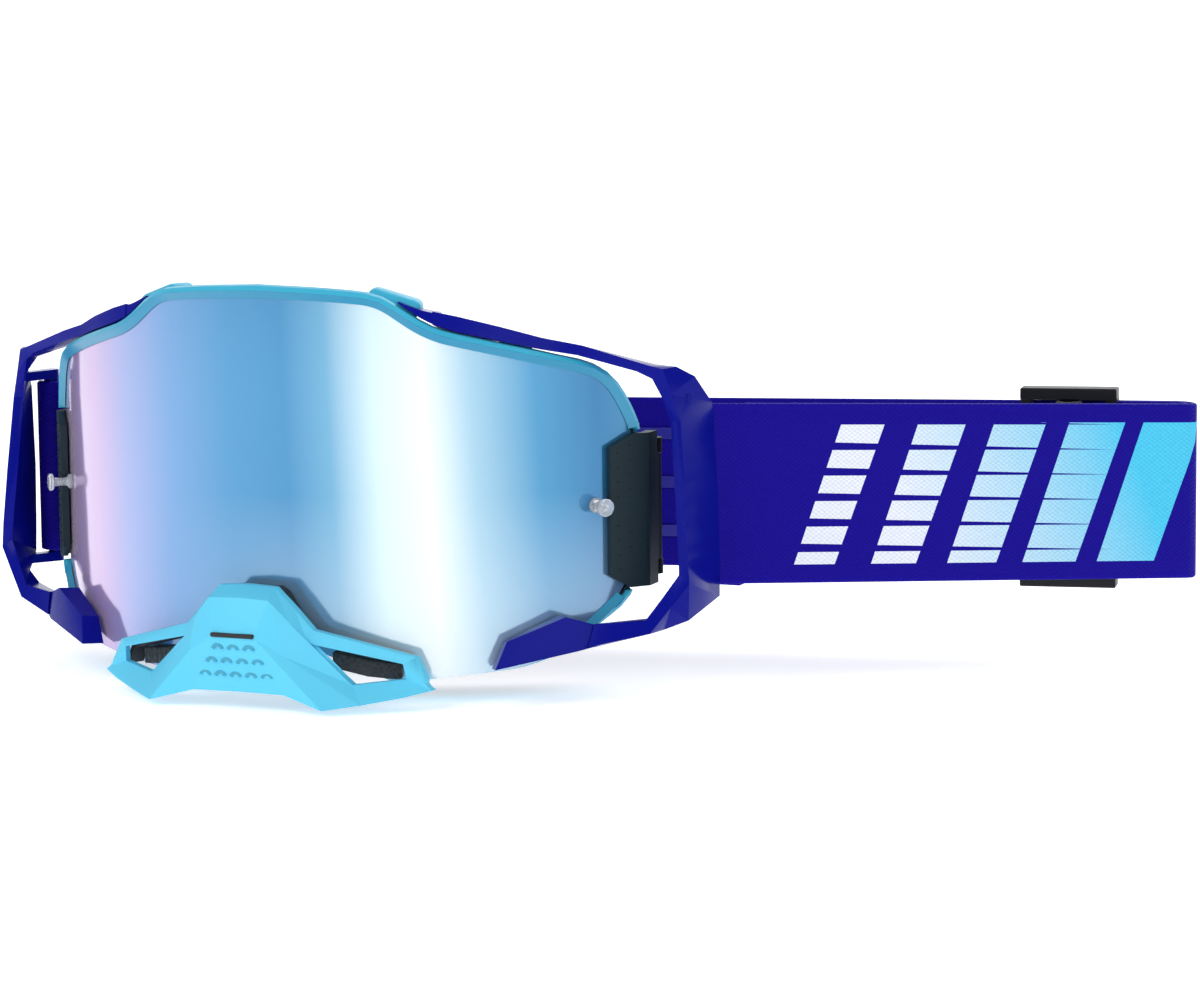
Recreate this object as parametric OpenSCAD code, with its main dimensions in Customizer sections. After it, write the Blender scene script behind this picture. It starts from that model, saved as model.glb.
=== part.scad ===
// Motocross goggles: a cylindrical mirror lens in a flexible frame, held by two hinged side
// latches, with outriggers, a clip-on nose guard, layered face foam and an adjustable strap.
// Millimetres. +Z is up, the lens faces -Y and the wearer's left is +X. The origin is the
// middle of the face opening, in the plane of the foam's rearmost edges.

/* [Lens] */
// Radius of the lens's outer face
lens_radius = 98.7; // [92:0.1:120]
// Thickness of the lens
lens_thick = 2; // [1:0.1:2.4]
// Half of the lens's width, measured along its curve
lens_half = 95.3; // [79:0.1:115]
// Height of the lens's top edge above the origin
lens_top = 52.7; // [46:0.1:64]
// Depth of the lens's lower edge below the origin
lens_bottom = 41.8; // [38:0.1:50]
// Half of the raised brow's length, along the curve
brow_half = 30.5; // [25:0.1:36]
// Depth of the nose cut-out's top below the origin
nose_top = 22; // [19:0.1:26]
// Half of the nose cut-out's width at the lens's lower edge
nose_half = 33; // [28:0.1:38]

/* [Face] */
// Depth of the face curve between the temples and the brow
face_depth = 35; // [29:0.5:42]
// Thickness of the dense foam layer
foam_dense_h = 8; // [5:0.5:9.6]
// Thickness of the soft foam layer
foam_soft_h = 5; // [3:0.5:6]
// Thickness of the fleece facing
fleece_h = 1.8; // [1:0.1:2.5]
// Width of the foam, across the edge of the face opening
foam_w = 10.5; // [8:0.5:12]

/* [Frame] */
// How far the rim's ridge stands above the lens
rim_proud = 1.8; // [1:0.1:3]
// Width of the rim, from its ridge to its outer edge
rim_w = 1.4; // [1:0.1:2]
// Thickness of the face frame's walls
wall = 1.8; // [1.4:0.1:2.2]

/* [Latches] */
// Thickness of a latch's plate
latch_t = 1.8; // [1.4:0.1:2.4]
// Width of a latch's grip face, along the lens's curve
latch_w = 10.8; // [9:0.1:13]
// Height of a latch
latch_h = 38; // [32:0.5:40]
// Radius of a latch's hinge pin
latch_pin_r = 0.8; // [0.6:0.05:1]

/* [Tear-off posts] */
// Radius of a post's head
post_head_r = 2.2; // [1.8:0.1:2.4]
// Radius of a post's stem
post_stem_r = 1.1; // [0.8:0.05:1.3]
// Distance from the lens to a post's outer end
post_h = 6.3; // [5:0.1:9]

/* [Strap] */
// Width of the strap
strap_w = 45; // [37:0.5:54]
// Thickness of the strap
strap_t = 1.6; // [1.2:0.1:2]
// Length of the near run, from its outrigger to the fold
near_run = 135; // [115:1:162]
// Length of a slider, along the strap
slider_l = 25; // [20:0.5:28]
// Travel of a slider away from its outrigger
slider_out = 8; // [4:1:12]
// Travel of a slider towards its outrigger's far side
slider_in = 26; // [18:1:30]

/* [Nose guard] */
// Thickness of the nose guard's shell
guard_t = 2.2; // [1.6:0.1:2.8]

/* [Hidden] */
$fn = 64;

// Clearances
seat_gap = 0.1;      // between pieces that rest on each other
soft_gap = 0.3;      // between a soft piece and its neighbour
run_gap = 0.05;      // radial, round a hinge pin
edge_gap = 0.35;     // between the lens's edge and its channel

// Places that follow from the driving sizes
foam_h = foam_dense_h + foam_soft_h + fleece_h + 3 * seat_gap;
axis_y = 29.75;                              // the lens's vertical axis
side_a = lens_half / lens_radius * 180 / PI; // the lens's half angle
temple = [lens_radius * sin(side_a), axis_y - lens_radius * cos(side_a)];
frame_out = 2.4;                             // face frame's outer face, outside the lens's edge
face_pull = 0.93;                            // the face frame's rear is this much narrower than the lens
foam_lean = 0.42;                            // how far the foam leans inwards, for its depth
foam_drop = 0.15;                            // the same from above and below
face_half = lens_radius * face_pull * sin(side_a + frame_out / lens_radius * 180 / PI);

// A point on the lens's cylinder: s along the curve, z up, r from the axis
function wrap(s, z, r) = let (a = s / lens_radius * 180 / PI) [r * sin(a), axis_y - r * cos(a), z];
function polar(a, r) = [r * sin(a), axis_y - r * cos(a)];
function clamp(v) = max(0, min(1, v));

// The lens's outline, right half, from the brow to the nose: [s, z, corner length]
lens_corners = [
    [0, lens_top, 0],
    [brow_half * 0.6, lens_top - 0.6, 8],
    [brow_half, lens_top - 1.8, 4],
    [brow_half + 12.2, lens_top - 10.2, 6],
    [lens_half - 8.3, lens_top - 20.5, 7],
    [lens_half, lens_top - 35.2, 6],
    [lens_half - 1.8, 21.8 - lens_bottom, 5],
    [lens_half - 25.3, 3.3 - lens_bottom, 8],
    [nose_half, -lens_bottom, 4],
    [11, -nose_top - 11, 6],
    [5, -nose_top - 0.5, 3],
    [0, -nose_top, 0]];
lens_loop = concat(lens_corners,
    [for (i = [len(lens_corners) - 2 : -1 : 1]) [-lens_corners[i].x, lens_corners[i].y, lens_corners[i].z]]);

// Rounds each corner of a closed loop with a parabola
function flat(p) = [p.x, p.y];
function toward(p, q, d) = p + (q - p) * d / norm(q - p);
function rounded(loop, steps = 4) = [
    for (i = [0 : len(loop) - 1])
        let (p = flat(loop[i]), c = loop[i].z,
            before = flat(loop[(i + len(loop) - 1) % len(loop)]), after = flat(loop[(i + 1) % len(loop)]))
        if (c == 0) p
        else
            for (k = [0 : steps])
                let (t = k / steps, u = toward(p, before, c), v = toward(p, after, c))
                u * (1 - t) * (1 - t) + p * 2 * t * (1 - t) + v * t * t];

// Spreads count points evenly along a closed path
function travelled(path, n) = [
    for (i = 0, d = 0; i <= n; d = d + norm(path[(i + 1) % n] - path[i % n]), i = i + 1) d];
function spread(path, count) = let (n = len(path), along = travelled(path, n))
    [for (k = [0 : count - 1]) let (t = along[n] * k / count)
        [lookup(t, [for (i = [0 : n]) [along[i], path[i % n].x]]),
         lookup(t, [for (i = [0 : n]) [along[i], path[i % n].y]])]];

count = 144;
lens_path = rounded(lens_loop);
edge = spread(lens_path, count);

// Outward normal of the edge at point i, from the points k before and after
function normal(i, k) = let (t = edge[(i + k) % count] - edge[(i + count - k) % count])
    [-t.y, t.x] / norm(t);
// The rim sinks behind the lens along its lower edge and round the nose
function rim(i) = abs(edge[i].x) < nose_half + 8 && edge[i].y < 0 ? 0 : clamp((edge[i].y + 39) / 15);
function shifted(i, n) = n - 2.4 * (1 - clamp(2 * rim(i)));
function offset_point(i, n) = edge[i] + shifted(i, n) * normal(i, abs(n) > 4 ? 7 : 2);
// A point n outside the edge and p above the lens's outer face
function front(i, n, p) = let (q = offset_point(i, n), low = min(p, -lens_thick - 0.6))
    wrap(q.x, q.y, lens_radius + low + (p - low) * clamp(2 * rim(i) - 1));
// The face curve, and the point n outside the edge on the face frame's rear, moved back by h
function face_y(x) = face_depth * (x * x / (face_half * face_half) - 1);
function face_z(z) = z > 40 ? 38 + (z - 40) * 0.55 : z * 0.95;
function back(i, n, h = 0) =
    let (q = edge[i] + shifted(i, n) * normal(i, 7), x = lens_radius * face_pull * sin(q.x / lens_radius * 180 / PI))
    [x * (1 - foam_lean * h / face_half), face_y(x) - foam_h + h, face_z(q.y) * (1 - foam_drop * h / lens_top)];
// A point part of the way back from the lens to the face
function between(i, n, d) = let (f = front(i, n, -1)) f + (back(i, n) - f) * d;

// Joins equal sections into one solid, as a closed ring or with flat ends
module loft(stations, closed = false, flip = false) {
    n = len(stations);
    m = len(stations[0]);
    last = closed ? n - 1 : n - 2;
    sides = [for (i = [0 : last], j = [0 : m - 1])
        let (a = i * m + j, b = i * m + (j + 1) % m,
            c = (i + 1) % n * m + (j + 1) % m, d = (i + 1) % n * m + j)
        each [[a, b, c], [a, c, d]]];
    caps = closed ? [] : concat(
        [for (j = [1 : m - 2]) [0, j + 1, j]],
        [for (j = [1 : m - 2]) [(n - 1) * m, (n - 1) * m + j, (n - 1) * m + j + 1]]);
    faces = concat(sides, caps);
    polyhedron([for (s = stations) each s], flip ? [for (f = faces) [f[2], f[1], f[0]]] : faces);
}

// A shell between two grids of points, with the cells in skip left open
module shell(outer, inner, skip = []) {
    rows = len(outer);
    cols = len(outer[0]);
    function open_at(r, c) = len([for (cell = skip) if (cell == [r, c]) cell]) > 0;
    function there(r, c) = r >= 0 && r < rows - 1 && c >= 0 && c < cols - 1 && !open_at(r, c);
    function at(r, c, deep) = (deep ? rows * cols : 0) + r * cols + c;
    function wall_of(a, b, c, d) = [[a, b, c], [a, c, d]];
    faces = [for (r = [0 : rows - 2], c = [0 : cols - 2]) if (there(r, c)) each concat(
        wall_of(at(r, c, false), at(r, c + 1, false), at(r + 1, c + 1, false), at(r + 1, c, false)),
        wall_of(at(r, c, true), at(r + 1, c, true), at(r + 1, c + 1, true), at(r, c + 1, true)),
        there(r - 1, c) ? [] : wall_of(at(r, c, false), at(r, c, true), at(r, c + 1, true), at(r, c + 1, false)),
        there(r + 1, c) ? []
            : wall_of(at(r + 1, c, false), at(r + 1, c + 1, false), at(r + 1, c + 1, true), at(r + 1, c, true)),
        there(r, c - 1) ? [] : wall_of(at(r, c, false), at(r + 1, c, false), at(r + 1, c, true), at(r, c, true)),
        there(r, c + 1) ? []
            : wall_of(at(r, c + 1, false), at(r, c + 1, true), at(r + 1, c + 1, true), at(r + 1, c + 1, false)))];
    polyhedron([for (r = outer) each r, for (r = inner) each r], faces);
}

module both() {
    children();
    mirror([1, 0, 0]) children();
}
// Moves its children to the lens's face, with their +Z pointing outwards
module radial(s, z, r) translate([0, axis_y, z]) rotate([0, 0, s / lens_radius * 180 / PI])
    translate([0, -r, 0]) rotate([90, 0, 0]) children();
// A block between two radii, two angles and two heights
module sector(a0, a1, r0, r1, z0, z1) translate([0, axis_y, z0]) rotate([0, 0, a0 - 90])
    rotate_extrude(angle = a1 - a0) translate([r0, 0]) square([r1 - r0, z1 - z0]);

// --- Frame ---
shell_back = 0.6;          // how far back the outer frame's wall reaches
latch_z = -1.5;              // middle of a latch
latch_in_s = lens_half - 8;  // inner edge of a latch's grip face
latch_out_s = latch_in_s + latch_w;
latch_top = latch_z + latch_h / 2;
latch_low = latch_z - latch_h / 2;
notch_gap = 0.9;

ridge = 1.3;                 // from the lens's edge to the rim's ridge

module frame() color("deepskyblue") difference() {
    loft([for (i = [0 : count - 1]) [
        front(i, 1, -0.3),
        front(i, ridge, rim_proud),
        front(i, ridge + rim_w * 0.75, rim_proud - 0.9),
        front(i, ridge + rim_w, -0.7),
        between(i, ridge + rim_w, shell_back),
        between(i, 1, shell_back)]], closed = true);
    both() sector((latch_in_s - 4) / lens_radius * 180 / PI, side_a + 8, lens_radius - 3.2, lens_radius + 9,
        latch_low - notch_gap, latch_top + notch_gap);
}

hinge = temple + [1.45, 8.8];    // a latch's pin, seen from above
lug_r = 2.1;
lug_h = 3.7;
barrel_r = 1.9;
barrel_h = 26;
lug_gap = 0.3;
vent_l = 11;
top_vents = [8, 23];
low_vents = [48, 62];

module lugs() for (z = [latch_z + barrel_h / 2 + lug_gap, latch_z - barrel_h / 2 - lug_gap - lug_h])
    hull() {
        translate([hinge.x, hinge.y, z]) cylinder(r = lug_r, h = lug_h, $fn = 32);
        translate([hinge.x - 6.8, hinge.y + 1.05, z]) cylinder(r = 0.5, h = lug_h, $fn = 32);
    }

module vent(s, z, y) translate([lens_radius * face_pull * sin(s / lens_radius * 180 / PI), y, z])
    cube([vent_l, 3.2, 9], center = true);

module face_frame() color("black") difference() {
    union() {
        loft([for (i = [0 : count - 1]) [
            front(i, edge_gap, -0.15),
            front(i, 0.9, -0.15),
            between(i, 0.9, shell_back + 0.02),
            between(i, frame_out, shell_back + 0.02),
            back(i, frame_out),
            back(i, frame_out - foam_w - 0.8),
            between(i, frame_out - foam_w - 0.8, 0.9),
            between(i, frame_out - wall, 0.88),
            between(i, frame_out - wall, 0.74),
            between(i, 0.9 - wall, 0.6),
            front(i, 0.9 - wall, -lens_thick - 2.9),
            front(i, -5.5, -lens_thick - 2.9),
            front(i, -5.5, -lens_thick - 1.3),
            front(i, edge_gap, -lens_thick - 1.3)]], closed = true);
        both() lugs();
    }
    both() translate([hinge.x, hinge.y, latch_z - latch_h]) cylinder(r = latch_pin_r + run_gap, h = 2 * latch_h);
    both() for (s = top_vents) vent(s, face_z(lens_top), face_y(s) - foam_h - 3.8);
    both() for (s = low_vents) vent(s, 4 - lens_bottom, face_y(s * 0.93) - foam_h - 3.6);
}

// --- Lens and its seal ---
upper_edge = [for (p = lens_path) if (p.x > -0.01 && p.y > 0) [p.x, p.y]];
lower_edge = concat(
    [for (i = [len(lens_path) - 1 : -1 : 0]) let (p = lens_path[i]) if (p.x > -0.01 && p.y < 0) [p.x, p.y]],
    [upper_edge[len(upper_edge) - 1]]);
function column(s, r) = let (z1 = lookup(abs(s), upper_edge), z0 = lookup(abs(s), lower_edge))
    [wrap(s, z0, r), wrap(s, z1, r)];
// The columns crowd at the sides, where the edge is steep
lens_side = [0.35, 0.9, 1.6];
lens_columns = concat(
    [for (d = lens_side) d - lens_half],
    [for (k = [0 : 76]) (lens_half - 2.2) * (k / 38 - 1)],
    [for (i = [2 : -1 : 0]) lens_half - lens_side[i]]);

module lens_blank() loft([for (s = lens_columns)
    let (o = column(s, lens_radius + 12), q = column(s, lens_radius - 12))
    [o[0], o[1], q[1], q[0]]]);

post_s = lens_half - 10.9;
post_z = 0.2;
post_hole_r = post_stem_r + 0.1;

module lens() color([0.45, 0.65, 0.9, 0.6]) difference() {
    intersection() {
        translate([0, axis_y, -60]) difference() {
            cylinder(r = lens_radius, h = 130);
            translate([0, 0, -1]) cylinder(r = lens_radius - lens_thick, h = 132);
        }
        lens_blank();
    }
    both() radial(post_s, post_z, lens_radius - 6) cylinder(r = post_hole_r, h = 12);
}

module lens_gasket() color("dimgray") loft([for (i = [0 : count - 1]) [
    front(i, -5.2, -lens_thick - 1.2),
    front(i, -5.2, -lens_thick - seat_gap),
    front(i, -0.4, -lens_thick - seat_gap),
    front(i, -0.4, -lens_thick - 1.2)]], closed = true);

// --- Tear-off posts ---
head_t = 1.4;
module tear_off_post() color("whitesmoke") radial(post_s, post_z, lens_radius) {
    translate([0, 0, -lens_thick - seat_gap - 0.9]) cylinder(r = post_head_r - 0.3, h = 0.9);
    translate([0, 0, -lens_thick - seat_gap - 0.9]) cylinder(r = post_stem_r, h = post_h + lens_thick);
    translate([0, 0, seat_gap]) cylinder(r = post_head_r - 0.3, h = 1);
    translate([0, 0, post_h - head_t]) cylinder(r = post_head_r, h = head_t);
}
module left_tear_off_post() tear_off_post();
module right_tear_off_post() mirror([1, 0, 0]) tear_off_post();

// --- Lens latches ---
latch_lift = 0.5;                            // gap between the lens and a latch's plate
latch_in_a = latch_in_s / lens_radius * 180 / PI;
latch_out_a = latch_out_s / lens_radius * 180 / PI;
latch_r0 = lens_radius + latch_lift;
latch_r1 = latch_r0 + latch_t;

// The grip plate over the lens and the wall that joins it to the hinge, seen from above
function latch_angle(k) = latch_in_a + (latch_out_a - latch_in_a) * k / 8;
latch_plan = concat(
    [for (k = [0 : 8]) polar(latch_angle(k), latch_r1)],
    [hinge + [1.7, 0], hinge + [-1, -1.5], polar(latch_out_a - 0.6, latch_r0 - 0.3)],
    [for (k = [7 : -1 : 0]) polar(latch_angle(k), latch_r0)]);

module lens_latch() color("darkslategray") difference() {
    union() {
        difference() {
            translate([0, 0, latch_low]) linear_extrude(height = latch_h) polygon(latch_plan);
            for (z = [latch_z + barrel_h / 2 + 0.1, latch_z - barrel_h / 2 - latch_h - 0.1])
                translate([hinge.x, hinge.y, z]) cylinder(r = lug_r + 0.5, h = latch_h);
        }
        translate([hinge.x, hinge.y, latch_z - barrel_h / 2]) cylinder(r = barrel_r, h = barrel_h);
    }
    translate([hinge.x, hinge.y, latch_z - latch_h]) cylinder(r = latch_pin_r + run_gap, h = 2 * latch_h);
    radial(latch_in_s, latch_top, lens_radius - 1) rotate([0, 0, 26]) translate([-6, -2.8, 0]) cube([14, 8, 8]);
    radial(latch_in_s, latch_low, lens_radius - 1) rotate([0, 0, -30]) translate([-6, -5.2, 0]) cube([14, 8, 8]);
}
module left_lens_latch() lens_latch();
module right_lens_latch() mirror([1, 0, 0]) lens_latch();

pin_l = barrel_h + 2 * lug_gap + 2 * lug_h;
module latch_pin() color("silver") translate([hinge.x, hinge.y, latch_z - pin_l / 2])
    cylinder(r = latch_pin_r, h = pin_l);
module left_latch_pin() latch_pin();
module right_latch_pin() mirror([1, 0, 0]) latch_pin();

// --- Outriggers ---
arm_h = 2.8;
function at(x, y, z) = [temple.x + x, temple.y + y, z];
top_lift = lens_top - 52.7;      // the upper arm follows the brow
low_drop = lens_bottom - 41.8;   // the lower arm follows the lens's lower edge
arm_points = [13, 15, 18, 21];   // points of the lens's edge that the arm follows
arm_n = ridge + rim_w + 0.3;
// The arm's height over the rim at each of its points
function arm_rise(i) = arm_h + lookup(i, [[13, 0.4], [15, 1], [18, 0.7], [21, 0.1]]);
function arm(i) = [
    front(i, arm_n, 0.4),
    front(i, arm_n, 0) + [0, 0, arm_rise(i)],
    between(i, arm_n, 0.55) + [0, 0, arm_rise(i)],
    between(i, arm_n, 0.55)];

// The outrigger from the brow, round the side and down to the clip plate: front inner edge,
// front ridge, rear outer edge and rear inner edge at each station
side_path = concat([for (i = arm_points) arm(i)], [
    [at(-8.6, -13.4, 37.4 + top_lift), at(-8.1, -13.0, 39.9 + top_lift),
     at(-13, -8.2, 39.7 + top_lift), at(-13.2, -8.6, 37.4 + top_lift)],
    [at(4.2, -7.9, 33.4 + top_lift), at(7.6, -6.6, 34.6 + top_lift),
     at(6, -0.5, 34.6 + top_lift), at(2, -1.5, 33.4 + top_lift)],
    [at(7.6, -6.2, 31.5), at(10.1, -5.3, 33.9), at(11.9, -1.2, 34.2), at(8.2, 0, 31.5)],
    [at(9.4, -4.6, 27), at(11.8, -4.4, 27.6), at(15.2, 2.6, 31.6), at(11.9, 1, 29)],
    [at(11, -2.8, 21), at(13.8, -3.2, 21.1), at(16.8, 9.6, 24.6), at(13.9, 6, 23)],
    [at(12.6, -4.2, 1.9), at(15.5, -4.7, 1.9), at(17.4, 11.6, 1.9), at(14.6, 8, 1.9)],
    [at(13.8, -5.3, -12.3), at(16.5, -5.8, -12.3), at(17.7, 11.7, -12.3), at(14.9, 8.1, -12.3)],
    [at(14, -5.5, -16.5), at(16.9, -5.9, -18.5), at(17.8, 11.4, -23.8), at(15, 7.8, -21)],
    [at(10.6, -8, -22), at(12.8, -8.3, -24.4), at(14.8, -1.6, -28.3), at(11.4, -1.4, -25)],
    [at(6.9, -10.4, -27.6), at(8.4, -10.9, -30.6), at(9.6, -4.4, -30.4), at(6.8, -4.4, -27.6)],
    [at(-3.8, -16.6, -27.9 - low_drop), at(-4.6, -19, -33.4 - low_drop),
     at(-4.6, -14.6, -34 - low_drop), at(-3.8, -13.4, -28.2 - low_drop)]]);

// Plate that clips the lower arm over the lens's lower corner
plate_s = lens_half - 18;
clip_rise = 101.6 - 98.7;
module clip_plate() loft([
    [wrap(plate_s + 5, -28.6 - low_drop, lens_radius + 7.2), wrap(plate_s + 4.4, -33.2 - low_drop, lens_radius + 8),
     wrap(plate_s + 4, -33.6 - low_drop, lens_radius + clip_rise),
     wrap(plate_s + 5, -29 - low_drop, lens_radius + clip_rise)],
    [wrap(plate_s - 3.4, -25.9 - low_drop, lens_radius + 6.6), wrap(plate_s - 1, -34.2 - low_drop, lens_radius + 8.4),
     wrap(plate_s - 1, -34.6 - low_drop, lens_radius + clip_rise),
     wrap(plate_s - 3.4, -26.2 - low_drop, lens_radius + clip_rise - 1.6)],
    [wrap(plate_s - 17.2, -31.3 - low_drop, lens_radius + 5.9), wrap(plate_s - 20.2, -38 - low_drop, lens_radius + 7.4),
     wrap(plate_s - 20.2, -38.4 - low_drop, lens_radius + clip_rise - 1.4),
     wrap(plate_s - 17.2, -31.8 - low_drop, lens_radius + clip_rise - 1.6)]]);

bar_r = 2;
bar = temple + [11.04, 11.3];
bar_z = 1.6;
bar_half = strap_w / 2 + 0.7;
web_t = 2.4;

module web(z, x, y) hull() {
    translate([bar.x, bar.y, z]) cylinder(r = bar_r, h = web_t, $fn = 32);
    translate([temple.x + x, temple.y + y, z]) cylinder(r = 1.4, h = web_t, $fn = 32);
}

module outrigger() color("mediumblue") union() {
    loft(side_path);
    clip_plate();
    web(bar_z + bar_half, 13, 1.6);
    web(bar_z - bar_half - web_t, 15, 4);
    translate([bar.x, bar.y, bar_z - bar_half - web_t]) cylinder(r = bar_r, h = 2 * bar_half + 2 * web_t);
}
module left_outrigger() outrigger();
module right_outrigger() mirror([1, 0, 0]) outrigger();

// --- Nose guard, its seal and its filters ---
// Each point is [s along the lens, z, height above the lens]
function on_lens(p) = wrap(p.x, p.y, lens_radius + p.z);
guard_half = [
    [[0, -17.2, 8.6], [7, -17.7, 8.3], [11.8, -22.7, 8.5], [16.1, -27.8, 8.7], [39.2, -34.3, 7.5], [41.6, -39.7, 8.4]],
    [[0, -19.8, 13.4], [7.3, -20.2, 13.2], [11.6, -25.4, 12.2], [15.5, -30.7, 10.9], [36.4, -35.8, 8.6],
     [41.4, -40.6, 8.9]],
    [[0, -29, 16.5], [5, -29, 16.3], [11.5, -33.5, 15], [25.4, -40.6, 11], [37, -39.6, 8], [42, -41.4, 9.2]],
    [[0, -42.8, 14.2], [10.8, -43, 14.6], [20.2, -45.9, 18.4], [27.8, -45, 14.6], [36.6, -43.6, 11.4],
     [43, -42.2, 9.5]]];
function across(row) = concat([for (i = [len(row) - 1 : -1 : 1]) [-row[i].x, row[i].y, row[i].z]], row);
guard_outer = [for (row = guard_half) [for (p = across(row)) on_lens(p)]];
guard_inner = [for (row = guard_outer) [for (p = row) p + [0, guard_t, 0]]];
guard_vents = [[1, 1], [1, 8]];

module nose_guard() color("deepskyblue") shell(guard_outer, guard_inner, guard_vents);

seal_base = [[0, -19, 0.2], [5.6, -18.3, 0.2], [7.4, -19.4, 0.2], [13.2, -28.9, 0.2], [21.7, -31, 0.2],
    [30.3, -33.1, 0.2], [38.6, -35.2, 0.2], [40.4, -39.4, 0.2]];
seal_crown = [[0, -18, 6], [5.4, -18, 6], [7, -18.6, 5.8], [14.9, -28.6, 6], [22.8, -30.9, 5.5], [31, -33, 5.2],
    [38, -34.9, 4.8], [40.2, -39.4, 5.2]];
seal_t = 1.6;

module nose_seal() color("black") loft([for (k = [0 : 2 * len(seal_base) - 2])
    let (i = abs(k - len(seal_base) + 1), m = k < len(seal_base) - 1 ? -1 : 1,
        b = seal_base[i], c = seal_crown[i])
    [on_lens([m * b.x, b.y, b.z]), on_lens([m * c.x, c.y, c.z]),
     on_lens([m * (c.x - (i > 1 ? 0.6 : 0)), c.y - seal_t, c.z]),
     on_lens([m * (b.x - (i > 1 ? 0.6 : 0)), b.y - seal_t, b.z])]]);

// Foam pads in the frame behind the nose guard's side openings
module nose_vent_filters() color("dimgray") both() loft([for (p = [[19, -35.6], [27.5, -37.6], [35.6, -38.4]]) [
    on_lens([p.x, p.y - 2.2, 0.5]), on_lens([p.x, p.y + 1.8, 0.5]),
    on_lens([p.x, p.y + 1.8, 3.4]), on_lens([p.x, p.y - 2.2, 3.4])]], flip = true);

// --- Vent filters inside the face frame ---
function filter_section(i) = [
    between(i, frame_out - wall - soft_gap, 0.75),
    between(i, frame_out - wall - soft_gap, 0.86),
    between(i, frame_out - wall - soft_gap - 1.8, 0.86),
    between(i, frame_out - wall - soft_gap - 1.8, 0.75)];
top_filter_reach = 9;
low_filter_first = 40;
low_filter_last = 48;

module top_vent_filter() color("dimgray")
    loft([for (k = [-top_filter_reach : top_filter_reach]) filter_section((k + count) % count)]);
module bottom_vent_filters() color("dimgray") both()
    loft([for (i = [low_filter_first : low_filter_last]) filter_section(i)]);

// --- Face foam ---
module foam_layer(h0, h1, trim) loft([for (i = [0 : count - 1]) [
    back(i, frame_out - trim, h0),
    back(i, frame_out - trim, h1),
    back(i, frame_out - foam_w + trim, h1),
    back(i, frame_out - foam_w + trim, h0)]], closed = true);

module foam_dense() color("gray") foam_layer(seat_gap, seat_gap + foam_dense_h, 0);
module foam_soft() color("lightgray")
    foam_layer(2 * seat_gap + foam_dense_h, 2 * seat_gap + foam_dense_h + foam_soft_h, 0.4);
module foam_fleece() color("black") foam_layer(foam_h - fleece_h, foam_h, 0.8);

// --- Strap ---
// The route in plan: from the left bar, out to the fold, back behind the face to the right bar
near_a = 41;
far_a = 191;
strap_seat = bar_r + strap_t / 2 + soft_gap;     // from a bar's axis to the band's middle
function dir(a) = [cos(a), sin(a)];
near_start = bar + strap_seat * dir(near_a - 90);
fold_corner = near_start + near_run * dir(near_a);
right_x = -bar.x - strap_seat;
far_turn = [right_x, fold_corner.y + 7 + (right_x - fold_corner.x) * tan(far_a)];
fold_c = 3.6;
turn_c = 34;
route = [[near_start.x, near_start.y, 0], [fold_corner.x, fold_corner.y, fold_c],
    [fold_corner.x - 4, fold_corner.y + 7 - 4 * tan(far_a), fold_c],
    [far_turn.x, far_turn.y, turn_c], [right_x, bar.y, 0]];
far_dir = dir(far_a);
far_start = toward(flat(route[2]), flat(route[3]), fold_c);

function route_piece(i) = let (p = flat(route[i]), c = route[i].z)
    c == 0 ? [p] : [for (k = [0 : 8]) let (t = k / 8,
        u = toward(p, flat(route[i - 1]), c), v = toward(p, flat(route[i + 1]), c))
        u * (1 - t) * (1 - t) + p * 2 * t * (1 - t) + v * t * t];
band_path = [for (i = [0 : len(route) - 1]) each route_piece(i)];
// The band sinks towards the fold and the back of the head: [y, z] on the near and the far run
near_drop = [[bar.y, 0], [fold_corner.y, -5.5]];
far_drop = [[bar.y, 0], [far_turn.y - 8, -4.8], [far_turn.y - turn_c * far_dir.y, -6.9], [far_start.y, -5.5]];
function band_z(p) = bar_z + (p.x - near_start.x > 0.8 * (p.y - near_start.y)
    ? lookup(p.y, near_drop) : lookup(p.y, far_drop));

// Loops round the bars, from the return layer to the outer run
function loop_points(centre, r, a0, a1) = [for (k = [0 : 10]) centre + r * dir(a0 + (a1 - a0) * k / 10)];
left_loop = loop_points(bar, strap_seat, near_a - 270, near_a - 90);
right_bar = [-bar.x, bar.y];
right_loop = loop_points(right_bar, strap_seat, 180, 360);

function band_side(path, i) = let (a = path[max(i - 1, 0)], b = path[min(i + 1, len(path) - 1)], t = (b - a) / norm(b - a))
    [-t.y, t.x];
module band(path, w, t, lift = 0, level = 0) loft([for (i = [0 : len(path) - 1])
    let (p = path[i], q = band_side(path, i), z = band_z(p) + level, u = p + q * (lift + t / 2), v = p + q * (lift - t / 2))
    [[u.x, u.y, z - w / 2], [v.x, v.y, z - w / 2], [v.x, v.y, z + w / 2], [u.x, u.y, z + w / 2]]]);

whole_band = concat([for (i = [0 : len(left_loop) - 2]) left_loop[i]], band_path,
    [for (i = [1 : len(right_loop) - 1]) right_loop[i]]);
module strap() color("navy") band(whole_band, strap_w, strap_t);

// The return layers run along the inside of the band to the sliders
left_slider_at = far_start + (slider_l + 2) * far_dir;
right_slider_at = far_start + 205 * far_dir;
slider_clear = slider_l / 2 + slider_out + 0.6;
layer = strap_t + soft_gap;
blend_run = 18;              // how soon the return layer lies against the band

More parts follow.
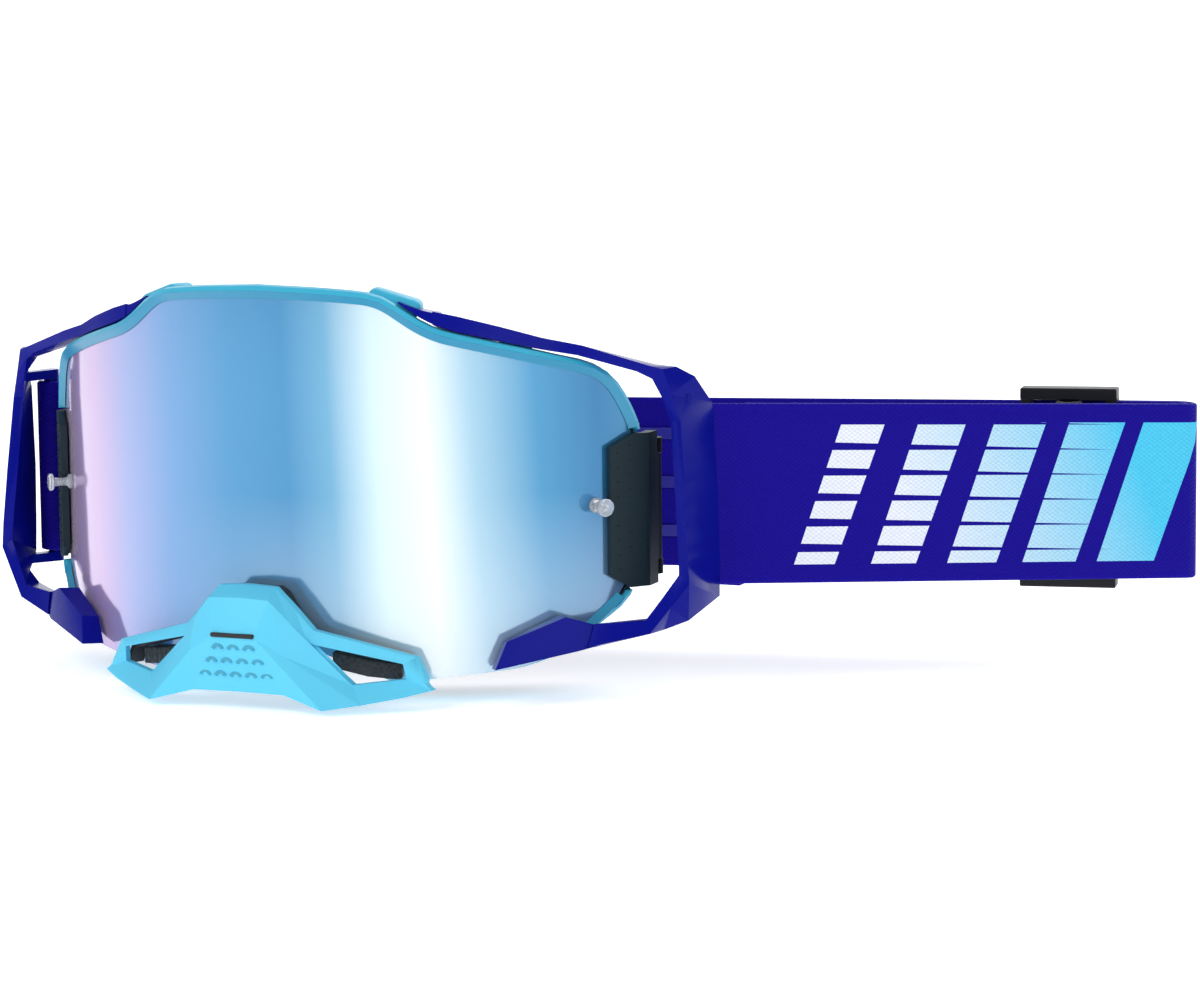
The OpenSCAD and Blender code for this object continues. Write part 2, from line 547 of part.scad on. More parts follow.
// A point beside the band, on the side of the head, at point i of its path
function inside(i, d) = band_path[i] + d * band_side(band_path, i);
last_point = len(band_path) - 1;
left_return_path = concat(
    [left_loop[0] + 0.4 * dir(near_a),
     left_loop[0] + blend_run * 0.3 * dir(near_a),
     near_start + blend_run * 0.7 * dir(near_a) + (layer + 0.5) * dir(near_a + 90),
     near_start + blend_run * dir(near_a) + layer * dir(near_a + 90)],
    [for (i = [1 : 18]) inside(i, layer)],
    [left_slider_at - slider_clear * far_dir + layer * dir(far_a + 90)]);
module left_strap_return() color("navy") band(left_return_path, strap_w, strap_t);

right_return_path = concat(
    [right_loop[10] + [0, 0.4], right_loop[10] + [0, 3.5]],
    [for (i = [last_point - 2 : -1 : last_point - 9]) inside(i, layer)],
    [right_slider_at + slider_clear * far_dir + layer * dir(far_a + 90)]);
module right_strap_return() color("navy") band(right_return_path, strap_w, strap_t);

// Silicone lines on the inside of the band, between the sliders
grip_l = 92;
grip_t = 0.5;
grip_w = 3;
grip_from = left_slider_at + (slider_l / 2 + slider_in + 4) * far_dir;
module strap_grip_lines() color("deepskyblue") for (level = [-13, 0, 13])
    band([for (k = [0 : 4]) grip_from + (grip_l * k / 4) * far_dir], grip_w, grip_t, strap_t / 2 + grip_t / 2 + 0.05, level);

// --- Sliders ---
slider_w = strap_w + 7;
slider_t = 6.6;
slot_w = strap_w + 0.8;
channel_t = strap_t + 0.5;
rail = 3;                    // width of the end bars
centre_bar = 3;
slider_shift = 1.1;          // the band runs nearer to the outer bars

// Local axes: x along the band, y towards the head, z up
module slider_body() difference() {
    translate([-slider_l / 2, -slider_t / 2 + slider_shift, -slider_w / 2]) cube([slider_l, slider_t, slider_w]);
    translate([-slider_l, -channel_t / 2, -slot_w / 2]) cube([2 * slider_l, channel_t, slot_w]);
    translate([-slider_l / 2 + rail, -slider_t, -slot_w / 2]) cube([slider_l - 2 * rail, slider_t, slot_w]);
    for (m = [-1, 1]) translate([m * (slider_l / 4 - rail / 2 + centre_bar / 4), slider_t / 2, 0])
        cube([slider_l / 2 - rail - centre_bar / 2, slider_t, slot_w], center = true);
    translate([-slider_l, slider_t / 2 + slider_shift - 0.9, -slot_w / 2]) cube([2 * slider_l, slider_t, slot_w]);
}
module at_slider(p) translate([p.x, p.y, band_z(p)]) rotate([0, 0, far_a - 180]) mirror([0, 1, 0]) children();

module left_slider() color("black") at_slider(left_slider_at) slider_body();
module right_slider() color("black") at_slider(right_slider_at) slider_body();

// A sewn loop of strap round the slider's middle bar
module slider_loop() {
    y0 = channel_t / 2 + 0.3;
    translate([0, 0, -strap_w / 2]) linear_extrude(height = strap_w) difference() {
        translate([0, slider_shift + 1.2]) circle(r = centre_bar / 2 + 1.9);
        translate([0, slider_shift + 1.2]) circle(r = centre_bar / 2 + 0.9);
        translate([-10, -10]) square([20, 10 + y0]);
    }
}
module left_slider_loop() color("navy") at_slider(left_slider_at) slider_loop();
module right_slider_loop() color("navy") at_slider(right_slider_at) slider_loop();

frame();
face_frame();
lens_gasket();
lens();
left_tear_off_post();
right_tear_off_post();
left_lens_latch();
right_lens_latch();
left_latch_pin();
right_latch_pin();
left_outrigger();
right_outrigger();
nose_guard();
nose_seal();
nose_vent_filters();
top_vent_filter();
bottom_vent_filters();
foam_dense();
foam_soft();
foam_fleece();
strap();
left_strap_return();
right_strap_return();
strap_grip_lines();
left_slider();
right_slider();
left_slider_loop();
right_slider_loop();
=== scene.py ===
import math
import bmesh
import bpy
from mathutils import Matrix, Vector


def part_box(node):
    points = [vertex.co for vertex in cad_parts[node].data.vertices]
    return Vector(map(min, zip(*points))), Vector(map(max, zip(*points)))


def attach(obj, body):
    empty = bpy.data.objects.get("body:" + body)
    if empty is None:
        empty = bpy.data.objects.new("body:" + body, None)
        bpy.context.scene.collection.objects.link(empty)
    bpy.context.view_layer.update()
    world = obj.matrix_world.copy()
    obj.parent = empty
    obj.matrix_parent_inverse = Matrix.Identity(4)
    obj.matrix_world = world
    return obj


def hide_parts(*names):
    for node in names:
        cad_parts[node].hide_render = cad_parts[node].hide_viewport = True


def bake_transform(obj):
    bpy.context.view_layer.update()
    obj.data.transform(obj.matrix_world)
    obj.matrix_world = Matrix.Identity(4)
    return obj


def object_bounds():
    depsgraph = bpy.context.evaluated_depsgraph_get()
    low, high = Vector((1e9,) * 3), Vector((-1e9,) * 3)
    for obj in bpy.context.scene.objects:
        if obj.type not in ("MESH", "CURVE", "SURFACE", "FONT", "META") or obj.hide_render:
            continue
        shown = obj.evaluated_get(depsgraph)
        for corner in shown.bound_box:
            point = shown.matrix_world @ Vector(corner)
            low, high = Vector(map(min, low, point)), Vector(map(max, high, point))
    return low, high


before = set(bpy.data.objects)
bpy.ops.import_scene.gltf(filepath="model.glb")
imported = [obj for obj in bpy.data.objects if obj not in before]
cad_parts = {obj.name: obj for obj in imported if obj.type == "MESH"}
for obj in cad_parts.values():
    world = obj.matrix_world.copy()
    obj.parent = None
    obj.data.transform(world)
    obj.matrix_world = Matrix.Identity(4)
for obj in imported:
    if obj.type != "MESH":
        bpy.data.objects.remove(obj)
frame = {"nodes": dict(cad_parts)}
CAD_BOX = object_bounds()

bl_info = {
    "name": "Motocross goggles",
    "version": (1, 0, 0),
    "blender": (4, 5, 0),
    "location": "View3D > Sidebar > Goggles",
    "description": "Builds the finished surfaces of a pair of motocross goggles on their CAD frame",
    "category": "Add Mesh",
}

# The lens's cylinder, in metres: its radius and where its vertical axis stands
LENS_R = 0.0987
AXIS_Y = 0.02975
WEB_W = 0.045
WEB_T = 0.0016


# --- Places ---------------------------------------------------------------------------------

def on_lens(along, up, out=0.0):
    """The point that lies along the lens's curve, at a height, and out from its outer face."""
    a = along / LENS_R
    return Vector(((LENS_R + out) * math.sin(a), AXIS_Y - (LENS_R + out) * math.cos(a), up))


def facing_lens(along, up, out=0.0):
    """A matrix at that point whose Z points out of the lens, X along its curve and Y up."""
    a = along / LENS_R
    x = Vector((math.cos(a), math.sin(a), 0))
    z = Vector((math.sin(a), -math.cos(a), 0))
    return Matrix.Translation(on_lens(along, up, out)) @ Matrix((x, (0, 0, 1), z)).transposed().to_4x4()


def colours():
    return bpy.context.scene.goggles_colours


def sizes():
    return bpy.context.scene.goggles_sizes


# --- Meshes ---------------------------------------------------------------------------------

def new_piece(name, bm, finish, body, smooth=True, keep_normals=False):
    """Turns a bmesh into a piece of the goggles that rides on a body."""
    if not keep_normals:
        bmesh.ops.recalc_face_normals(bm, faces=bm.faces)
    for face in bm.faces:
        face.smooth = smooth
    for edge in bm.edges:
        if len(edge.link_faces) == 2 and edge.calc_face_angle(0) > math.radians(38):
            edge.smooth = False
    mesh = bpy.data.meshes.new(name)
    bm.to_mesh(mesh)
    bm.free()
    mesh.materials.clear()
    for one in finish if isinstance(finish, (list, tuple)) else [finish]:
        mesh.materials.append(one)
    piece = bpy.data.objects.new(name, mesh)
    bpy.context.scene.collection.objects.link(piece)
    if body:
        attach(piece, body)
    return piece


def rounded_copy(node, name, finish, body, width, angle=26.0, segments=2, flat=0.4):
    """A merged copy of a CAD node whose edges are rounded. It stands for the node."""
    bm = bmesh.new()
    bm.from_mesh(frame["nodes"][node].data)
    bmesh.ops.remove_doubles(bm, verts=bm.verts, dist=2e-6)
    bmesh.ops.dissolve_degenerate(bm, dist=1e-6, edges=bm.edges)
    bmesh.ops.dissolve_limit(bm, angle_limit=math.radians(flat), verts=bm.verts, edges=bm.edges)
    for face in bm.faces:
        face.material_index = 0
    piece = new_piece(name, bm, finish, body)
    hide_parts(node)
    if width > 0:
        edge_round = piece.modifiers.new("Rounded edges", "BEVEL")
        edge_round.width = width
        edge_round.segments = segments
        edge_round.limit_method = "ANGLE"
        edge_round.angle_limit = math.radians(angle)
        edge_round.harden_normals = True
        edge_round.use_clamp_overlap = True
    return piece


def lathe(bm, profile, at, steps=24):
    """Spins a profile of (radius, height) points round the Z axis of a matrix."""
    verts = [bm.verts.new((r, 0, h)) for r, h in profile]
    edges = [bm.edges.new(pair) for pair in zip(verts, verts[1:])]
    bmesh.ops.spin(bm, geom=verts + edges, cent=(0, 0, 0), axis=(0, 0, 1), dvec=(0, 0, 0),
                   angle=math.tau, steps=steps, use_merge=True, use_normal_flip=False, use_duplicate=False)
    mine = [v for v in bm.verts if not v.tag]
    bmesh.ops.remove_doubles(bm, verts=mine, dist=1e-7)
    mine = [v for v in bm.verts if not v.tag]
    bmesh.ops.transform(bm, matrix=at, verts=mine)
    for v in mine:
        v.tag = True


def rounded_block(bm, size, at, width, segments=3):
    """A block with rounded edges, at a matrix."""
    made = bmesh.ops.create_cube(bm, size=1.0)["verts"]
    bmesh.ops.scale(bm, vec=size, verts=made)
    edges = list({e for v in made for e in v.link_edges})
    out = bmesh.ops.bevel(bm, geom=edges, offset=width, offset_type="OFFSET", affect="EDGES",
                          segments=segments, profile=0.5, material=-1, clamp_overlap=True)
    verts = list({v for f in out["faces"] for v in f.verts} | {v for v in made if v.is_valid})
    bmesh.ops.transform(bm, matrix=at, verts=verts)
    for v in verts:
        v.tag = True


# Corners of the lens's outline from the brow's middle to its lower edge: along, up, rounding, in millimetres
LENS_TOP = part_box("lens")[1].z * 1000
LENS_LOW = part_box("lens")[0].z * 1000
CORNERS = [(0, LENS_TOP, 0), (18.3, LENS_TOP - 0.6, 8), (30.5, LENS_TOP - 1.8, 4), (42.7, LENS_TOP - 10.2, 6),
           (87.0, LENS_TOP - 20.5, 7), (95.3, LENS_TOP - 35.2, 6), (93.5, LENS_LOW + 21.8, 5),
           (70.0, LENS_LOW + 3.3, 8), (33.0, LENS_LOW, 0)]


def lens_outline():
    """Points 1.5 mm apart along half of the lens's outline."""
    path = []
    for i, (x, y, reach) in enumerate(CORNERS):
        here = Vector((x, y)) * 0.001
        if reach == 0:
            path.append(here)
        else:
            before, after = (Vector(CORNERS[i + k][:2]) * 0.001 for k in (-1, 1))
            path += corner(before, here, after, reach * 0.001, 8)
    return evenly(path, 0.0015)


def edge_stations(first, last):
    """Stations (point, outward normal) of the outline from one height or length test to another."""
    path = lens_outline()
    return [(p, side_of(path, i)) for i, p in enumerate(path) if first(p) and last(p)]


def swept(name, stations, profile, finish_of, body, side=1, width=0.0):
    """Carries a closed profile of (outward, above the lens) points along stations of the lens's edge."""
    n, m = len(stations), len(profile(0))
    bm = bmesh.new()
    bmesh.ops.create_grid(bm, x_segments=n - 1, y_segments=m, size=0.5)
    for v in bm.verts:
        i = min(n - 1, max(0, round((v.co.x + 0.5) * (n - 1))))
        out, above = profile(i / (n - 1))[round((v.co.y + 0.5) * m) % m]
        p, q = stations[i]
        v.co = on_lens(side * (p.x + q.x * out), p.y + q.y * out, above)
    bmesh.ops.remove_doubles(bm, verts=bm.verts, dist=1e-6)
    bmesh.ops.holes_fill(bm, edges=[e for e in bm.edges if e.is_boundary], sides=0)
    piece = new_piece(name, bm, finish_of, body)
    if width:
        soft = piece.modifiers.new("Rounded edges", "BEVEL")
        soft.width = width
        soft.segments = 2
        soft.limit_method = "ANGLE"
        soft.angle_limit = math.radians(35)
        soft.harden_normals = True
    return piece


# --- Finishes -------------------------------------------------------------------------------

class Wire:
    """A shader value that adds, subtracts and multiplies like a number."""

    def __init__(self, finish, socket):
        self.finish = finish
        self.socket = socket

    def _sum(self, operation, first, second, clamp=False):
        return self.finish.node("ShaderNodeMath", {"operation": operation, "use_clamp": clamp}, {0: first, 1: second})

    def __add__(self, other): return self._sum("ADD", self, other)
    def __radd__(self, other): return self._sum("ADD", other, self)
    def __sub__(self, other): return self._sum("SUBTRACT", self, other)
    def __rsub__(self, other): return self._sum("SUBTRACT", other, self)
    def __mul__(self, other): return self._sum("MULTIPLY", self, other)
    def __rmul__(self, other): return self._sum("MULTIPLY", other, self)
    def __truediv__(self, other): return self._sum("DIVIDE", self, other)
    def __gt__(self, other): return self._sum("GREATER_THAN", self, other)
    def __lt__(self, other): return self._sum("LESS_THAN", self, other)
    def fraction(self): return self._sum("FRACT", self, 0.0)
    def size(self): return self._sum("ABSOLUTE", self, 0.0)
    def wave(self): return self._sum("SINE", self, 0.0)
    def held(self): return self._sum("ADD", self, 0.0, True)


class Finish:
    """A procedural material: a Principled shader and the nodes that feed it."""

    def __init__(self, name, **settings):
        self.material = bpy.data.materials.new(name)
        self.material.use_nodes = True
        self.nodes = self.material.node_tree.nodes
        self.links = self.material.node_tree.links
        self.shader = self.nodes["Principled BSDF"]
        for key, value in settings.items():
            socket = self.shader.inputs[key.replace("_", " ")]
            socket.default_value = (*value, 1.0) if isinstance(value, (tuple, list)) and len(value) == 3 else value

    def node(self, kind, settings=None, values=None, output=0):
        made = self.nodes.new(kind)
        for key, value in (settings or {}).items():
            if key == "stops":
                ramp = made.color_ramp
                while len(ramp.elements) < len(value):
                    ramp.elements.new(0.5)
                for element, (position, colour) in zip(ramp.elements, value):
                    element.position = position
                    element.color = (*colour, 1.0)
            else:
                setattr(made, key, value)
        for key, value in (values or {}).items():
            if isinstance(value, Wire):
                self.links.new(value.socket, made.inputs[key])
            else:
                made.inputs[key].default_value = value
        return Wire(self, made.outputs[output])

    def place(self):
        return self.node("ShaderNodeTexCoord", output="Object")

    def axis(self, letter, source=None):
        return self.node("ShaderNodeSeparateXYZ", None, {0: source or self.place()}, output=letter)

    def noise(self, scale, detail=3.0, roughness=0.5, source=None):
        return self.node("ShaderNodeTexNoise", None, {"Vector": source or self.place(), "Scale": scale,
                         "Detail": detail, "Roughness": roughness}, output="Fac")

    def mix(self, amount, first, second, blend="MIX"):
        pick = {}
        for key, value in ((6, first), (7, second)):
            pick[key] = value if isinstance(value, Wire) else (*value, 1.0)
        made = self.node("ShaderNodeMix", {"data_type": "RGBA", "blend_type": blend}, {0: amount, **pick}, output=2)
        return made

    def feed(self, name, wire):
        self.links.new(wire.socket, self.shader.inputs[name])
        return self

    def bump(self, height, distance, strength=1.0):
        normal = self.node("ShaderNodeBump", None, {"Height": height, "Distance": distance, "Strength": strength})
        return self.feed("Normal", normal)


def moulded(name, colour, roughness, coat=0.0, grain=0.00002, shade=0.12, gloss=0.5):
    """Moulded plastic: a faint grain, slight colour variation and worn, smoother patches."""
    f = Finish(name, Coat_Weight=coat, Coat_Roughness=0.12, Specular_IOR_Level=gloss)
    broad = f.noise(18.0, 2.0)
    fine = f.noise(2600.0, 2.0)
    f.feed("Base Color", f.mix(broad * 0.6, tuple(colour), tuple(c * (1 - shade) for c in colour)))
    f.feed("Roughness", roughness + broad * 0.1 + fine * 0.04 - 0.07)
    f.bump(fine, grain, 0.5)
    return f.material


def foam(name, colour, cell, depth):
    """Open-cell foam: a field of small pits, with painted shade darkening each pit."""
    f = Finish(name, Sheen_Weight=0.25, Sheen_Roughness=0.5)
    cells = f.node("ShaderNodeTexVoronoi", {"feature": "F1"}, {"Vector": f.place(), "Scale": cell}, output="Distance")
    broad = f.noise(60.0, 3.0)
    # Colour darkens towards each pit's middle: painted shade in the pits
    f.feed("Base Color", f.mix((cells * 1.2).held(), tuple(c * 0.55 for c in colour), tuple(colour)))
    f.feed("Roughness", 0.85 + broad * 0.12)
    f.bump(cells, depth, 0.8)
    return f.material


def fleece(name, colour):
    """Brushed fleece: short fibres over a knit."""
    f = Finish(name, Sheen_Weight=0.6, Sheen_Roughness=0.4)
    fibre = f.noise(1500.0, 5.0, 0.7)
    broad = f.noise(120.0, 2.0)
    f.feed("Base Color", f.mix(fibre, tuple(c * 0.5 for c in colour), tuple(c * 1.6 + 0.01 for c in colour)))
    f.feed("Roughness", 0.88 + broad * 0.1)
    f.bump(fibre + broad * 0.6, 0.0004, 0.9)
    return f.material


def webbing(name, colour, printed=False):
    """Woven elastic webbing. The UV map runs in metres along and across the band."""
    c = colours()
    f = Finish(name, Sheen_Weight=0.01, Sheen_Roughness=0.5, Specular_IOR_Level=0.08)
    uv = f.node("ShaderNodeUVMap", {"uv_map": "weave"})
    along, across = f.axis("X", uv), f.axis("Y", uv)
    pitch = sizes().weave_pitch
    warp = (across * (math.tau / pitch)).wave()
    weft = (along * (math.tau / (pitch * 1.35))).wave()
    knit = warp * weft
    edge = ((across.size() - WEB_W * 0.462) * 900.0).held()
    cloth = f.mix((knit * 0.25 + 0.5 + edge * 0.25).held(), tuple(v * 0.8 for v in colour),
                  tuple(v * 1.12 for v in colour))
    if printed:
        start, end = 0.036, 0.141
        run = (along - start) * (1.0 / (end - start))
        leaned = along - across * 0.36
        wide = 0.5 + run.held() * 0.3
        bars = (leaned * (1 / 0.0205)).fraction() < wide
        cuts = (across * (1 / 0.0064) + 0.3).fraction() < (0.34 - run * 0.42)
        ends = ((leaned - start) > 0.0) * ((end - leaned) > 0.0)
        band = across.size() < 0.0178
        ink = bars * ends * band * (1.0 - cuts)
        dye = f.mix((run * 1.5 - 0.35 + across * 6.0).held(), tuple(c.stripe_start), tuple(c.stripe_end))
        cloth = f.mix(ink, cloth, f.mix((knit * 0.12 + 0.12).held(), dye, (0.05, 0.12, 0.6)))
    f.feed("Base Color", cloth)
    f.feed("Roughness", 0.66 + knit * 0.06)
    f.bump(knit + edge * 1.5, 0.00012, 0.7)
    return f.material


def mirror_lens(name):
    """A mirror coating that shifts through blue and lilac round the lens, with painted reflections: a near-white band
    on one side and a paler lower front.
    """
    f = Finish(name, IOR=1.55, Coat_IOR=1.45)
    x = f.axis("X")
    z = f.axis("Z")
    haze = f.noise(9.0, 1.0)
    across = (x * (1 / 0.1624) + 0.5 + z * 0.25 + (haze - 0.5) * 0.02).held()
    # Stops round the lens: blue and lilac coating tints, and a near-white band near 0.69 to 0.76 that is a painted
    # reflection
    coating_tint_and_reflection_bands = f.node("ShaderNodeValToRGB", {"stops": [
        (0.0, (0.62, 0.5, 0.7)), (0.15, (0.56, 0.42, 0.66)), (0.235, (0.34, 0.4, 0.68)),
        (0.34, (0.16, 0.33, 0.6)), (0.45, (0.07, 0.27, 0.5)), (0.55, (0.05, 0.24, 0.46)),
        (0.62, (0.14, 0.37, 0.56)), (0.69, (0.6, 0.76, 0.82)), (0.76, (0.78, 0.85, 0.87)),
        (0.82, (0.34, 0.55, 0.68)), (0.9, (0.06, 0.28, 0.5)), (0.97, (0.03, 0.19, 0.4)),
        (1.0, (0.05, 0.24, 0.44))]}, {0: across})
    # Paler lower front of the lens: a painted reflection of the floor
    low = ((0.004 - z) * 16.0).held() * ((x + 0.03) * 30.0).held()
    coating_and_painted_reflections = f.mix(low * 0.45, coating_tint_and_reflection_bands, (0.85, 0.92, 0.97))
    f.feed("Base Color", coating_and_painted_reflections)
    f.feed("Metallic", 0.42 + haze * 0.1)
    f.feed("Roughness", 0.09 + haze * 0.05)
    f.feed("Coat Weight", 0.3 + haze * 0.1)
    return f.material


def clear_plastic(name):
    """Clear moulded plastic with a faint haze."""
    f = Finish(name, IOR=1.49, Transmission_Weight=0.75)
    haze = f.noise(700.0, 2.0)
    f.feed("Base Color", f.mix(haze, (0.86, 0.92, 0.96), (0.95, 0.98, 1.0)))
    f.feed("Roughness", 0.06 + haze * 0.08)
    return f.material


def drawn_steel(name):
    f = Finish(name, Metallic=1.0)
    rub = f.noise(900.0, 3.0)
    f.feed("Base Color", f.mix(rub, (0.5, 0.5, 0.52), (0.72, 0.72, 0.74)))
    f.feed("Roughness", 0.24 + rub * 0.18)
    return f.material


def silicone(name, colour):
    f = Finish(name, Coat_Weight=0.2, Coat_Roughness=0.3)
    skin = f.noise(500.0, 3.0)
    f.feed("Base Color", f.mix(skin, tuple(c * 0.85 for c in colour), tuple(colour)))
    f.feed("Roughness", 0.38 + skin * 0.15)
    f.bump(skin, 0.00005, 0.6)
    return f.material


def finish(name):
    """The finish of that name, made once."""
    if name in bpy.data.materials:
        return bpy.data.materials[name]
    c = colours()
    makers = {
        "Cyan frame": lambda n: moulded(n, c.frame, 0.36, 0.03, gloss=0.25),
        # The bevel's colour is the frame colour darkened: painted shade on the bevel strips
        "Teal bevel": lambda n: moulded(n, tuple(v * f for v, f in zip(c.frame, (0.35, 0.6, 0.7))), 0.3, 0.3),
        "Black face frame": lambda n: moulded(n, c.black, 0.55, gloss=0.25),
        "Black rubber": lambda n: moulded(n, (0.02, 0.02, 0.022), 0.7, grain=0.00006),
        "Blue outrigger": lambda n: moulded(n, c.outrigger, 0.2, 0.0, gloss=0.08),
        "Cyan guard": lambda n: moulded(n, c.guard, 0.42, 0.0, gloss=0.25),
        # The scale marks are the guard colour darkened: painted shade along the embossed marks
        "Guard marks": lambda n: moulded(n, tuple(v * 0.6 for v in c.guard), 0.5, 0.0, gloss=0.2),
        "Black latch": lambda n: moulded(n, c.latch, 0.5, grain=0.00004, gloss=0.2),
        "Black slider": lambda n: moulded(n, c.black, 0.42, gloss=0.2),
        "Mirror lens": mirror_lens,
        "Clear post": clear_plastic,
        "Steel pin": drawn_steel,
        "Filter foam": lambda n: foam(n, (0.05, 0.05, 0.052), 900.0, 0.0005),
        "Dense foam": lambda n: foam(n, (0.11, 0.115, 0.125), 1300.0, 0.00025),
        "Soft foam": lambda n: foam(n, (0.42, 0.44, 0.47), 1000.0, 0.00035),
        "Fleece": lambda n: fleece(n, (0.02, 0.02, 0.024)),
        "Printed webbing": lambda n: webbing(n, tuple(c.strap), True),
        "Plain webbing": lambda n: webbing(n, tuple(c.strap)),
        "Silicone": lambda n: silicone(n, (0.01, 0.008, 0.3)),
    }
    return makers[name](name)


# --- Strap route ----------------------------------------------------------------------------

def heading(degrees):
    return Vector((math.cos(math.radians(degrees)), math.sin(math.radians(degrees))))


NEAR_A, FAR_A = 41.0, 191.0
SIDE_A = 0.0953 / LENS_R
BAR = Vector((LENS_R * math.sin(SIDE_A) + 0.01104, AXIS_Y - LENS_R * math.cos(SIDE_A) + 0.0113))
BAR_Z = 0.0016
SEAT = 0.0031
LAYER = 0.0019
NEAR_START = BAR + SEAT * heading(NEAR_A - 90)
FOLD = NEAR_START + 0.135 * heading(NEAR_A)
RIGHT_X = -BAR.x - SEAT
SLOPE = math.tan(math.radians(FAR_A))
FOLD_BACK = FOLD + Vector((-0.004, 0.007 - 0.004 * SLOPE))
TURN = Vector((RIGHT_X, FOLD.y + 0.007 + (RIGHT_X - FOLD.x) * SLOPE))
FAR = heading(FAR_A)
FAR_START = FOLD_BACK + 0.0036 * (TURN - FOLD_BACK).normalized()
LEFT_SLIDER = FAR_START + 0.027 * FAR
RIGHT_SLIDER = FAR_START + 0.205 * FAR


def corner(before, at, after, reach, steps):
    """Points round a soft corner of the route."""
    u = at + (before - at).normalized() * reach
    v = at + (after - at).normalized() * reach
    return [u.lerp(at, t).lerp(at.lerp(v, t), t) for t in (k / steps for k in range(steps + 1))]


def arc(centre, radius, a0, a1, steps=12):
    return [centre + radius * heading(a0 + (a1 - a0) * k / steps) for k in range(steps + 1)]


def between(value, pairs):
    """Reads a value off straight lines between (place, value) pairs."""
    if value <= pairs[0][0]:
        return pairs[0][1]
    for (a, x), (b, y) in zip(pairs, pairs[1:]):
        if value <= b:
            return x + (y - x) * (value - a) / (b - a)
    return pairs[-1][1]


def web_height(p):
    """Height of the webbing's middle over the origin at a point of its route."""
    if p.x - NEAR_START.x > 0.8 * (p.y - NEAR_START.y):
        return BAR_Z + between(p.y, [(BAR.y, 0), (FOLD.y, -0.0055)])
    return BAR_Z + between(p.y, [(BAR.y, 0), (TURN.y - 0.008, -0.0048), (TURN.y - 0.034 * FAR.y, -0.0069),
                                 (FAR_START.y, -0.0055)])


def side_of(points, i):
    t = (points[min(i + 1, len(points) - 1)] - points[max(i - 1, 0)]).normalized()
    return Vector((-t.y, t.x))


def beside(points, distance):
    return [p + distance * side_of(points, i) for i, p in enumerate(points)]


def evenly(points, step):
    """The same route with a point every step."""
    out, left = [points[0]], step
    for a, b in zip(points, points[1:]):
        length = (b - a).length
        while length >= left and length > 0:
            a = a.lerp(b, left / length)
            out.append(a)
            length, left = (b - a).length, step
        left -= length
    if (out[-1] - points[-1]).length > step * 0.3:
        out.append(points[-1])
    return out


OUTER_RUN = ([NEAR_START] + corner(NEAR_START, FOLD, FOLD_BACK, 0.0036, 10)
             + corner(FOLD, FOLD_BACK, TURN, 0.0036, 10)
             + corner(FOLD_BACK, TURN, Vector((RIGHT_X, BAR.y)), 0.034, 16) + [Vector((RIGHT_X, BAR.y))])


def web_band(name, points, finishes, body, step=0.0035, width=WEB_W, thick=WEB_T):
    """A flat band of webbing, laid along a route with its thickness to both sides."""
    points = evenly(points, step)
    n = len(points) - 1
    bm = bmesh.new()
    weave = bm.loops.layers.uv.new("weave")
    bmesh.ops.create_grid(bm, x_segments=n, y_segments=8, size=0.5)
    for face in bm.faces:
        for loop in face.loops:
            loop[weave].uv = ((loop.vert.co.x + 0.5) * n * step, loop.vert.co.y * width)
    for v in bm.verts:
        i = min(n, max(0, round((v.co.x + 0.5) * n)))
        p = points[i]
        v.co = Vector((p.x, p.y, web_height(p) + v.co.y * width))
    piece = new_piece(name, bm, finishes, body, keep_normals=True)
    wall = piece.modifiers.new("Webbing thickness", "SOLIDIFY")
    wall.thickness = thick
    wall.offset = 0.0
    wall.material_offset = len(finishes) - 1
    wall.material_offset_rim = len(finishes) - 1
    selvage = piece.modifiers.new("Rounded selvage", "BEVEL")
    selvage.width = thick * 0.32
    selvage.segments = 2
    selvage.limit_method = "ANGLE"
    selvage.angle_limit = math.radians(50)
    return piece


# --- Settings -------------------------------------------------------------------------------

def colour_setting(name, description, default):
    return bpy.props.FloatVectorProperty(name=name, description=description, default=default,
                                         subtype="COLOR", size=3, min=0.0, max=1.0)


class GogglesColours(bpy.types.PropertyGroup):
    frame: colour_setting("Frame", "Colour of the outer frame and brow", (0.05, 0.47, 0.68))
    guard: colour_setting("Nose guard", "Colour of the nose guard", (0.13, 0.66, 0.92))
    outrigger: colour_setting("Outriggers", "Colour of the outriggers", (0.002, 0.005, 0.24))
    strap: colour_setting("Strap", "Colour of the webbing", (0.008, 0.002, 0.27))
    stripe_start: colour_setting("First stripes", "Colour of the stripes next to the frame", (0.9, 0.93, 0.96))
    stripe_end: colour_setting("Last stripes", "Colour of the stripes next to the fold", (0.08, 0.62, 0.85))
    black: colour_setting("Black parts", "Colour of the face frame and sliders", (0.015, 0.016, 0.018))
    latch: colour_setting("Latches", "Colour of the lens latches", (0.011, 0.025, 0.034))


def length_setting(name, description, default):
    return bpy.props.FloatProperty(name=name, description=description, default=default, min=0.0,
                                   subtype="DISTANCE", unit="LENGTH", precision=5)


class GogglesSizes(bpy.types.PropertyGroup):
    edge: length_setting("Edge rounding", "Radius of the moulded parts' edges", 0.0006)
    weave_pitch: length_setting("Weave pitch", "Distance between the webbing's ribs", 0.0011)
    dimple: length_setting("Grip stud", "Radius of a stud on a latch's grip face", 0.00034)
    scale_arc: length_setting("Scale mark", "Radius of a scale mark on the nose guard", 0.0013)
    light: bpy.props.FloatProperty(name="Light", description="Strength of the studio lights", default=1.0, min=0.0)


# --- Operators ------------------------------------------------------------------------------

